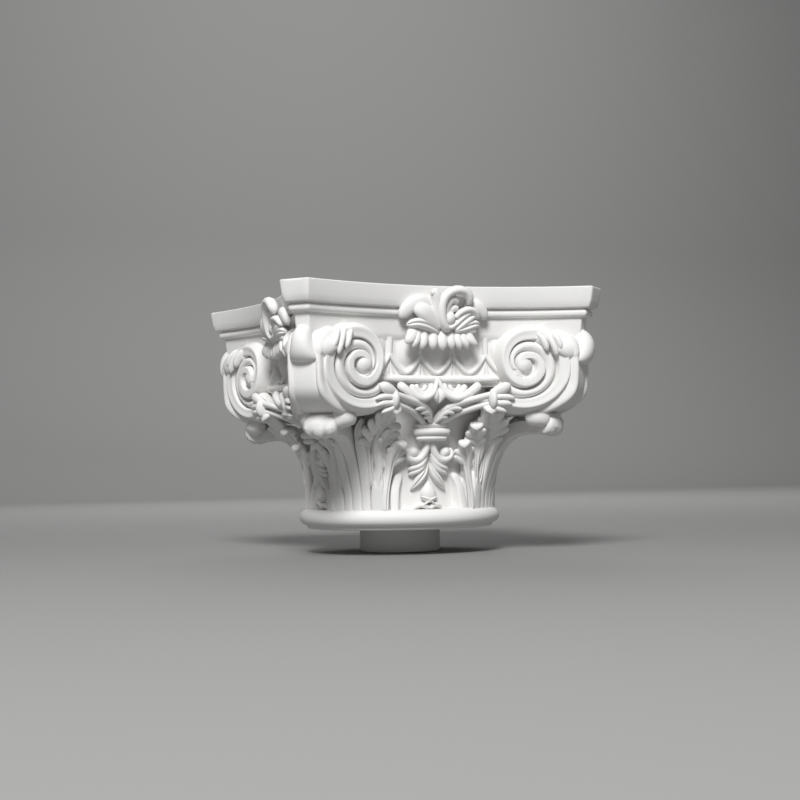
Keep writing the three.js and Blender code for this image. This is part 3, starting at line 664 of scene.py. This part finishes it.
FLEURON_ROLLS = [
    [(-3, 12, 264, 6.4, 7), (-8, 17, 281, 7, 7), (-9, 21, 296, 6.4, 7), (-12, 23, 305, 5.6, 6.5),
     (-17, 21, 304, 4.4, 5.5)],
    [(8, 15, 261, 4.6, 6), (0, 19, 268, 5, 7), (-3.8, 22, 281, 5.4, 7), (-3, 24, 294, 5.4, 7),
     (3, 26, 303.5, 5.6, 7), (14, 27, 308, 5.6, 7), (25, 26, 306, 5.4, 7), (30.5, 24, 298, 5.2, 6.5),
     (28.5, 22, 291.5, 4.6, 6)],
    [(3, 15, 278, 4.4, 6), (3.6, 19, 290, 5.6, 6), (10, 21, 298, 5.8, 6), (18.5, 18, 294, 4.6, 5)],
    [(9, 15, 282, 4, 5), (12, 18, 288, 4.4, 5), (18.5, 17, 287.5, 3.8, 4)],
    [(-1.5, 18, 276, 2.4, 4), (1, 19, 268.5, 2.8, 4), (7.5, 19, 265, 3, 4), (14, 18, 268.5, 2.8, 4),
     (17.5, 16, 275, 2.4, 4)],
    [(14.5, 17, 276, 3, 5), (20.5, 20, 282.5, 3.8, 6), (29.5, 21, 286, 4, 6), (38, 18, 283.5, 3.8, 6),
     (43.5, 14, 276, 3.2, 5)],
    [(26, 12, 262, 3.8, 5), (35, 13, 262.5, 4.2, 5), (42, 11, 262.5, 3.6, 4)]]
BEAD = (7.6, 162.0, 276.0)
BEAD_SIZES = (6.8, 6.4, 7.8)


def skirt_petal(root_x, root_z, tip_x, tip_z, half):
    """A petal that hangs from its root, tucked up under the leaves, and bends over to its narrower tip."""
    root = (root_x, ROOT_RELIEF, root_z + PETAL_TUCK)
    middle = (0.6 * root_x + 0.4 * tip_x, PETAL_RELIEF, 0.5 * root_z + 0.5 * tip_z)
    tip = (tip_x, PETAL_RELIEF, tip_z)
    stations = sized([root, middle, tip], [(share * half, thick) for share, thick in PETAL_SIZES])
    return limb(on_face(stations), OUT, ROUND, loops=12)


quarter_shells.append(dome(FLEURON_HEART, FLEURON_SPREAD, rings=12, sides=28))
quarter_shells += [skirt_petal(*petal) for petal in SKIRT]
for stations in FLEURON_LEAVES:
    quarter_shells.append(limb(on_face(stations), OUT, VEINED, loops=14, root=0.1))
for stations in FLEURON_WINGS:
    quarter_shells.append(limb(on_face(stations), OUT, FLAT_ROUND, loops=16, root=0.1, tip=0.2))
for stations in FLEURON_ROLLS:
    quarter_shells.append(limb(on_face(stations), OUT, ROUND, loops=20, root=0.08, tip=0.12))
quarter_shells.append(dome(BEAD, BEAD_SIZES))

# The casting itself: the body and the four quarters of ornament fused into one closed skin, in the chalky
# white of a primed resin moulding, with the faint mottling and tooth of its paint.
MILLIMETRE = 0.001
CREASE = np.radians(56)
KEPT_SHARE = 0.62
PAINT_TINT = (0.79, 0.785, 0.772)
PAINT_ROUGHNESS = 0.62
PAINT_GLOSS = 0.35
DRIFT_SCALE = 9.0
DRIFT_DETAIL = 4.0
DRIFT_SHADE = 0.965
DRIFT_RANGE = (0.3, 0.75)
GRAIN_SCALE = 420.0
GRAIN_DETAIL = 3.0
GRAIN_DEPTH = 0.0004
CASTING_TOOTH = 0.12


def mesh_object(name, part):
    """A Blender object from a shell's points in millimetres and its triangles."""
    mesh = bpy.data.meshes.new(name)
    mesh.from_pydata(part[0] * MILLIMETRE, [], part[1].tolist())
    mesh.update()
    made = bpy.data.objects.new(name, mesh)
    bpy.context.scene.collection.objects.link(made)
    return made


def fused(parts, keep=1.0):
    """One closed skin from closed shells that run into one another: their union, as points and triangles.
    When keep is less than one, the slivers along the joints are thinned to that share of the triangles."""
    base = mesh_object("first shell", parts[0])
    others = bpy.data.collections.new("other shells")
    bpy.context.scene.collection.children.link(others)
    for part in parts[1:]:
        made = mesh_object("shell", part)
        bpy.context.scene.collection.objects.unlink(made)
        others.objects.link(made)
    join = base.modifiers.new("fuse", "BOOLEAN")
    join.operation = "UNION"
    join.solver = "MANIFOLD"
    join.operand_type = "COLLECTION"
    join.collection = others
    if keep < 1:
        thin = base.modifiers.new("thin", "DECIMATE")
        thin.ratio = keep
    mesh = base.evaluated_get(bpy.context.evaluated_depsgraph_get()).to_mesh()
    mesh.calc_loop_triangles()
    points = np.empty(len(mesh.vertices) * 3)
    mesh.vertices.foreach_get("co", points)
    triangles = np.empty(len(mesh.loop_triangles) * 3, dtype=np.int32)
    mesh.loop_triangles.foreach_get("vertices", triangles)
    for made in [base, *others.objects]:
        bpy.data.objects.remove(made)
    bpy.data.collections.remove(others)
    return points.reshape(-1, 3) / MILLIMETRE, triangles.reshape(-1, 3)


def outer_skin(points, triangles):
    """The connected skin that holds the point furthest from the axis. Every point takes the lowest number
    found on its triangles, over and over, until each skin carries one number, and the small skins shut in
    inside the casting are left out."""
    label = np.arange(len(points))
    settled = False
    while not settled:
        before = label.copy()
        np.minimum.at(label, triangles.ravel(), np.repeat(label[triangles].min(axis=1), 3))
        label = label[label]
        settled = np.array_equal(label, before)
    kept = label == label[np.argmax(np.hypot(points[:, 0], points[:, 1]))]
    number = np.cumsum(kept) - 1
    return points[kept], number[triangles[kept[triangles[:, 0]]]]


def chalk_white(name, tooth):
    """A matt white paint: the tint drifts a little over the surface, and a fine noise gives the tooth."""
    material = bpy.data.materials.new(name)
    material.use_nodes = True
    nodes, links = material.node_tree.nodes, material.node_tree.links
    shader = nodes["Principled BSDF"]
    shader.inputs["Roughness"].default_value = PAINT_ROUGHNESS
    shader.inputs["Specular IOR Level"].default_value = PAINT_GLOSS
    place = nodes.new("ShaderNodeTexCoord")
    drift = nodes.new("ShaderNodeTexNoise")
    drift.inputs["Scale"].default_value = DRIFT_SCALE
    drift.inputs["Detail"].default_value = DRIFT_DETAIL
    ramp = nodes.new("ShaderNodeValToRGB")
    dark, light = ramp.color_ramp.elements
    dark.position, light.position = DRIFT_RANGE
    dark.color = (*[c * DRIFT_SHADE for c in PAINT_TINT], 1)
    light.color = (*PAINT_TINT, 1)
    grain = nodes.new("ShaderNodeTexNoise")
    grain.inputs["Scale"].default_value = GRAIN_SCALE
    grain.inputs["Detail"].default_value = GRAIN_DETAIL
    bump = nodes.new("ShaderNodeBump")
    bump.inputs["Strength"].default_value = tooth
    bump.inputs["Distance"].default_value = GRAIN_DEPTH
    links.new(place.outputs["Object"], drift.inputs["Vector"])
    links.new(place.outputs["Object"], grain.inputs["Vector"])
    links.new(drift.outputs["Fac"], ramp.inputs["Fac"])
    links.new(ramp.outputs["Color"], shader.inputs["Base Color"])
    links.new(grain.outputs["Fac"], bump.inputs["Height"])
    links.new(bump.outputs["Normal"], shader.inputs["Normal"])
    return material


quarter = fused(quarter_shells)
whole = fused(body_shells + [turned(quarter, turn) for turn in QUARTERS], KEPT_SHARE)
casting = mesh_object("capital_casting", outer_skin(*whole))
casting.data.shade_smooth()
casting.data.set_sharp_from_angle(angle=CREASE)
shading = casting.modifiers.new("flat faces stay flat", "WEIGHTED_NORMAL")
shading.keep_sharp = True
casting.data.materials.append(chalk_white("chalk white", CASTING_TOOTH))
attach(casting, "root")
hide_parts("capital")

# The spigot: a short round plug that drops into the head of the shaft. It is turned from the same resin,
# painted with a coarser tooth, and let into the socket under the capital.
SPIGOT_RADIUS = 50.0
SPIGOT_TOP = 33.7
SPIGOT_INSETS = (2.0, 0.6, 0.0, 0.0, 0.0)
SPIGOT_LEVELS = (0.0, 0.6, 2.0, 16.0, SPIGOT_TOP)
SPIGOT_SIDES = 96
SPIGOT_TOOTH = 0.16

spigot_skin = lathe(SPIGOT_RADIUS - np.array(SPIGOT_INSETS), SPIGOT_LEVELS, SPIGOT_SIDES)
spigot = mesh_object("spigot_plug", spigot_skin)
spigot.data.shade_smooth()
spigot.data.set_sharp_from_angle(angle=CREASE)
spigot.data.materials.append(chalk_white("dull white", SPIGOT_TOOTH))
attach(spigot, "root")
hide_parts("spigot")

# The stage, in metres: a pale matt floor that runs up through a cove into a backdrop, three broad soft
# lights, and the camera, low and to the left of the front face.
FLOOR_GREY = (0.25, 0.25, 0.247)
FLOOR_ROUGHNESS = 0.9
FLOOR_FRONT = -6.0
FLOOR_HALF = 9.0
FLOOR_DROP = 0.0005
COVE_START = 3.6
COVE_RADIUS = 1.2
COVE_POINTS = 24
WALL_TOP = 6.0
# Each light has its name, place, aim, size, power in watts and the spread of its beam in degrees.
LIGHTS = [
    ("key", (-1.1, -2.3, 2.4), (0, 0, 0.2), 1.0, 126.0, 180),
    ("back", (0.6, 2.6, 2.2), (0, 0, 0.2), 2.0, 30.0, 180),
    ("backdrop", (1.2, 0.8, 4.2), (1.6, 4.8, 1.0), 3.0, 84.0, 110)]
SKY_STRENGTH = 0.17
CAMERA_PLACE = (-0.6198, -1.7102, 0.1036)
CAMERA_TILT = 92.690
CAMERA_ROLL = 1.019
CAMERA_TURN = -19.972
CAMERA_LENS = 64.98
CAMERA_SENSOR = 36.0


def softbox(name, place, aim, size, power, spread):
    """A square area light at a place, turned to face its aim, with its beam held to the spread in degrees."""
    light = bpy.data.lights.new(name, "AREA")
    light.size = size
    light.energy = power
    light.spread = np.radians(spread)
    made = bpy.data.objects.new(name, light)
    bpy.context.scene.collection.objects.link(made)
    made.location = place
    made.rotation_euler = (Vector(place) - Vector(aim)).to_track_quat("Z", "Y").to_euler()


cove = np.linspace(0, np.pi / 2, COVE_POINTS)
wall_y = COVE_START + COVE_RADIUS
floor_y = np.concatenate([[FLOOR_FRONT], COVE_START + COVE_RADIUS * np.sin(cove), [wall_y]])[:, None]
floor_z = np.concatenate([[0.0], COVE_RADIUS * (1 - np.cos(cove)), [WALL_TOP]])[:, None] - FLOOR_DROP
floor_x = np.array([-FLOOR_HALF, FLOOR_HALF])
floor_points = np.stack(np.broadcast_arrays(floor_x, floor_y, floor_z), axis=-1).reshape(-1, 3)
corner = 2 * np.arange(len(floor_y) - 1)
floor_faces = np.stack([corner, corner + 1, corner + 3, corner + 2], axis=-1)
floor_mesh = bpy.data.meshes.new("floor")
floor_mesh.from_pydata(floor_points, [], floor_faces.tolist())
floor_mesh.shade_smooth()
floor = bpy.data.objects.new("floor", floor_mesh)
bpy.context.scene.collection.objects.link(floor)
floor_paint = bpy.data.materials.new("pale floor")
floor_paint.use_nodes = True
floor_shader = floor_paint.node_tree.nodes["Principled BSDF"]
floor_shader.inputs["Base Color"].default_value = (*FLOOR_GREY, 1)
floor_shader.inputs["Roughness"].default_value = FLOOR_ROUGHNESS
floor_mesh.materials.append(floor_paint)

for light in LIGHTS:
    softbox(*light)
world = bpy.data.worlds.new("studio")
world.use_nodes = True
world.node_tree.nodes["Background"].inputs["Color"].default_value = (1.0, 1.0, 1.0, 1)
world.node_tree.nodes["Background"].inputs["Strength"].default_value = SKY_STRENGTH
bpy.context.scene.world = world
bpy.context.scene.view_settings.view_transform = "Standard"

camera_data = bpy.data.cameras.new("camera")
camera_data.sensor_width = CAMERA_SENSOR
camera_data.lens = CAMERA_LENS
camera = bpy.data.objects.new("camera", camera_data)
bpy.context.scene.collection.objects.link(camera)
camera_turn = Euler(np.radians([CAMERA_TILT, CAMERA_ROLL, CAMERA_TURN]))
camera.matrix_world = Matrix.Translation(CAMERA_PLACE) @ camera_turn.to_matrix().to_4x4()
bpy.context.scene.camera = camera
